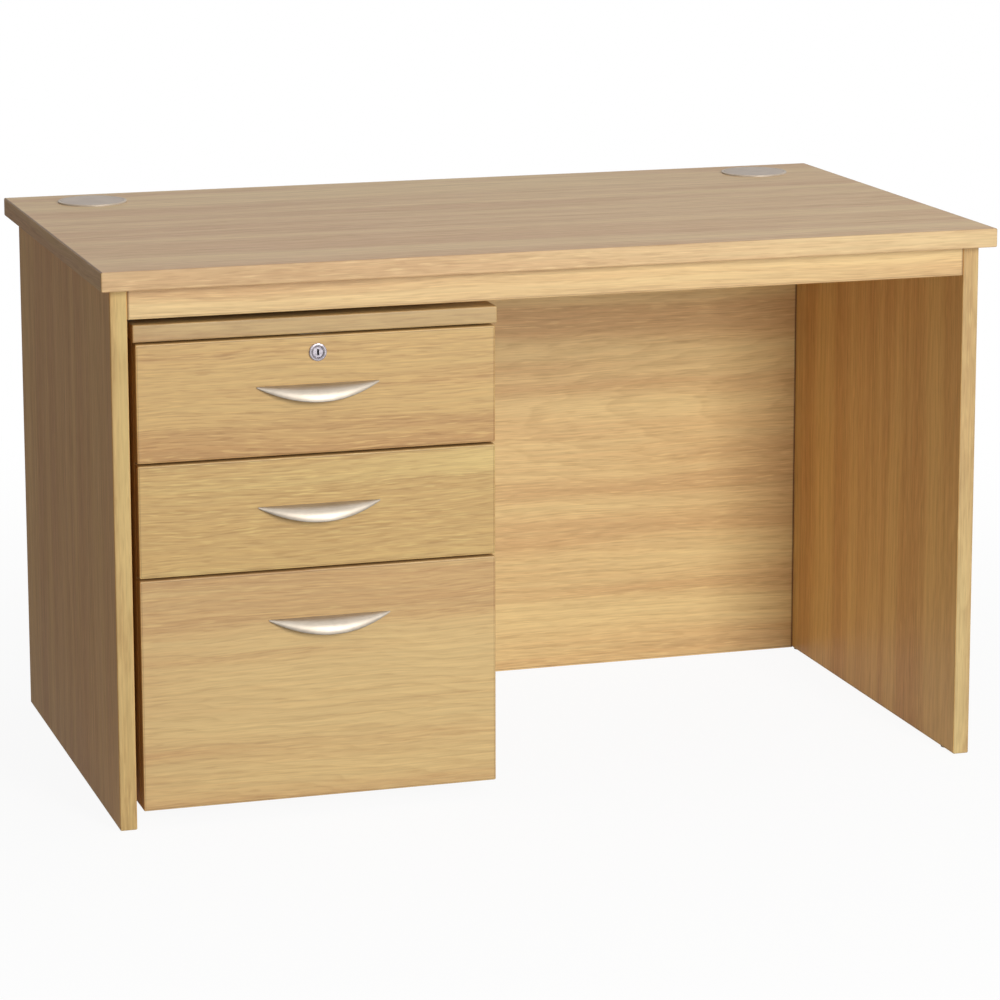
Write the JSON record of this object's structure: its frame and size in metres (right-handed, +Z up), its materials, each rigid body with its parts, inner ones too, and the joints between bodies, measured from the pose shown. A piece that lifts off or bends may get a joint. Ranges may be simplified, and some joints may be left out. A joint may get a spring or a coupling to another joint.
{
  "type": "pedestal desk",
  "caption": "Straight writing desk with panel ends, a front rail and full back, over a rolling drawer pedestal with bowed handles and a lock.",
  "frame": {"origin": "on the floor, under the middle of the desk top", "axes": "+X to the sitter's right along the desk, +Y away from the sitter, +Z up"},
  "size_m": [1.2, 0.69, 0.7275],
  "materials": {
    "oak_board": "oak-effect melamine, satin",
    "drawer_board": "pale foil-wrapped board",
    "hardboard": "pale painted hardboard",
    "beech": "raw beech",
    "satin_nickel": "satin nickel",
    "polished_chrome": "polished",
    "zinc_steel": "bright zinc plate",
    "satin_silver": "satin silver",
    "black_plastic": "moulded",
    "wheel_plastic": "moulded"
  },
  "bodies": {
    "desk": {"desk_top": "oak_board", "left_side_panel": "oak_board", "right_side_panel": "oak_board", "front_rail": "oak_board", "back_panel": "oak_board", "left_port_liner": "satin_silver", "right_port_liner": "satin_silver", "desk_dowels": "beech", "cam_locks": "zinc_steel", "cam_bolts": "zinc_steel", "floor_glides": "black_plastic"},
    "left_port_cap": {"left_port_cap": "satin_silver"},
    "right_port_cap": {"right_port_cap": "satin_silver"},
    "pedestal": {"pedestal_top": "oak_board", "pedestal_left_side": "oak_board", "pedestal_right_side": "oak_board", "pedestal_base": "oak_board", "pedestal_back": "oak_board", "pedestal_dowels": "beech", "strike_plate": "zinc_steel", "upper_runner_tracks": "zinc_steel", "file_runner_tracks": "zinc_steel", "castor_plates": "zinc_steel"},
    "lock": {"lock_plug": "polished_chrome", "lock_cam": "zinc_steel"},
    "file_runner_middle": {"file_runner_middles": "zinc_steel"},
    "top_drawer": {"top_drawer_front": "oak_board", "top_drawer_left_side": "drawer_board", "top_drawer_right_side": "drawer_board", "top_drawer_back": "drawer_board", "top_drawer_bottom": "hardboard", "top_drawer_handle": "satin_nickel", "top_drawer_runners": "zinc_steel", "top_handle_screws": "zinc_steel", "lock_barrel": "polished_chrome"},
    "middle_drawer": {"middle_drawer_front": "oak_board", "middle_drawer_left_side": "drawer_board", "middle_drawer_right_side": "drawer_board", "middle_drawer_back": "drawer_board", "middle_drawer_bottom": "hardboard", "middle_drawer_handle": "satin_nickel", "middle_drawer_runners": "zinc_steel", "middle_handle_screws": "zinc_steel"},
    "file_drawer": {"file_drawer_front": "oak_board", "file_drawer_left_side": "drawer_board", "file_drawer_right_side": "drawer_board", "file_drawer_back": "drawer_board", "file_drawer_bottom": "hardboard", "file_drawer_handle": "satin_nickel", "file_drawer_runners": "zinc_steel", "file_handle_screws": "zinc_steel", "file_rails": "zinc_steel"},
    "front_left_castor": {"front_left_castor_hood": "black_plastic"},
    "front_left_wheels": {"front_left_castor_wheels": "wheel_plastic"},
    "front_right_castor": {"front_right_castor_hood": "black_plastic"},
    "front_right_wheels": {"front_right_castor_wheels": "wheel_plastic"},
    "rear_left_castor": {"rear_left_castor_hood": "black_plastic"},
    "rear_left_wheels": {"rear_left_castor_wheels": "wheel_plastic"},
    "rear_right_castor": {"rear_right_castor_hood": "black_plastic"},
    "rear_right_wheels": {"rear_right_castor_wheels": "wheel_plastic"}
  },
  "joints": [
    {"name": "pedestal_roll", "type": "slide", "parent": "desk", "child": "pedestal", "axis": [0, -1, 0], "range_m": [0, 0.6]},
    {"name": "top_drawer_slide", "type": "slide", "parent": "pedestal", "child": "top_drawer", "axis": [0, -1, 0], "range_m": [0, 0.34]},
    {"name": "middle_drawer_slide", "type": "slide", "parent": "pedestal", "child": "middle_drawer", "axis": [0, -1, 0], "range_m": [0, 0.34]},
    {"name": "file_drawer_slide", "type": "slide", "parent": "pedestal", "child": "file_drawer", "axis": [0, -1, 0], "range_m": [0, 0.44]},
    {"name": "file_runner_slide", "type": "slide", "parent": "pedestal", "child": "file_runner_middle", "axis": [0, -1, 0], "range_m": [0, 0.22]},
    {"name": "lock_turn", "type": "hinge", "parent": "top_drawer", "child": "lock", "pos_m": [-0.3175, -0.31, 0.6045], "axis": [0, -1, 0], "range_deg": [0, 90]},
    {"name": "left_cap_lift", "type": "slide", "parent": "desk", "child": "left_port_cap", "axis": [0, 0, 1], "range_m": [0, 0.03]},
    {"name": "right_cap_lift", "type": "slide", "parent": "desk", "child": "right_port_cap", "axis": [0, 0, 1], "range_m": [0, 0.03]},
    {"name": "front_left_swivel", "type": "hinge", "parent": "pedestal", "child": "front_left_castor", "pos_m": [-0.48927, -0.24527, 0.055], "axis": [0, 0, 1], "continuous": true},
    {"name": "front_left_wheel_spin", "type": "hinge", "parent": "front_left_castor", "child": "front_left_wheels", "pos_m": [-0.48927, -0.23127, 0.02], "axis": [1, 0, 0], "range_deg": [0, 1719]},
    {"name": "front_right_swivel", "type": "hinge", "parent": "pedestal", "child": "front_right_castor", "pos_m": [-0.14573, -0.24527, 0.055], "axis": [0, 0, 1], "continuous": true},
    {"name": "front_right_wheel_spin", "type": "hinge", "parent": "front_right_castor", "child": "front_right_wheels", "pos_m": [-0.14573, -0.23127, 0.02], "axis": [1, 0, 0], "range_deg": [0, 1719]},
    {"name": "rear_left_swivel", "type": "hinge", "parent": "pedestal", "child": "rear_left_castor", "pos_m": [-0.48927, 0.18727, 0.055], "axis": [0, 0, 1], "continuous": true},
    {"name": "rear_left_wheel_spin", "type": "hinge", "parent": "rear_left_castor", "child": "rear_left_wheels", "pos_m": [-0.48927, 0.20127, 0.02], "axis": [1, 0, 0], "range_deg": [0, 1719]},
    {"name": "rear_right_swivel", "type": "hinge", "parent": "pedestal", "child": "rear_right_castor", "pos_m": [-0.14573, 0.18727, 0.055], "axis": [0, 0, 1], "continuous": true},
    {"name": "rear_right_wheel_spin", "type": "hinge", "parent": "rear_right_castor", "child": "rear_right_wheels", "pos_m": [-0.14573, 0.20127, 0.02], "axis": [1, 0, 0], "range_deg": [0, 1719]}
  ],
  "couplings": [
    {"joint": "file_runner_slide", "follows": "file_drawer_slide", "ratio": 0.5},
    {"joint": "front_left_wheel_spin", "follows": "pedestal_roll", "rad_per_m": 50},
    {"joint": "front_right_wheel_spin", "follows": "pedestal_roll", "rad_per_m": 50},
    {"joint": "rear_left_wheel_spin", "follows": "pedestal_roll", "rad_per_m": 50},
    {"joint": "rear_right_wheel_spin", "follows": "pedestal_roll", "rad_per_m": 50}
  ]
}
